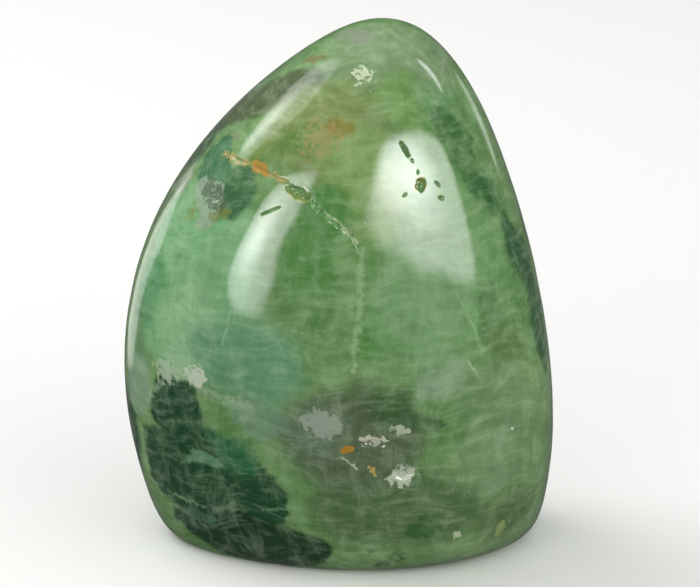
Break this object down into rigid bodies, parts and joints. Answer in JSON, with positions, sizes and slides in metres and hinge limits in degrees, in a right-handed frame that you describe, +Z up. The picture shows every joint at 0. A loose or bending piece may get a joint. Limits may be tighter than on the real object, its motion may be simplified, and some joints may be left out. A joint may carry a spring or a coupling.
{
  "type": "fluorite freeform",
  "caption": "Polished freeform of cloudy green fluorite: one rounded, leaning-peaked stone with small natural pits and a healed crack, standing on its flat base.",
  "frame": {"origin": "middle of the stone's bounding box, on the plane of its flat base", "axes": "+Z up from the base to the peak, the broad face with the pits looks along -Y, +X to the right of it"},
  "size_m": [0.0816, 0.0568, 0.1],
  "materials": {
    "fluorite": "polished, cloudy and slightly translucent"
  },
  "bodies": {
    "root": {"fluorite_freeform": "fluorite"}
  },
  "joints": []
}
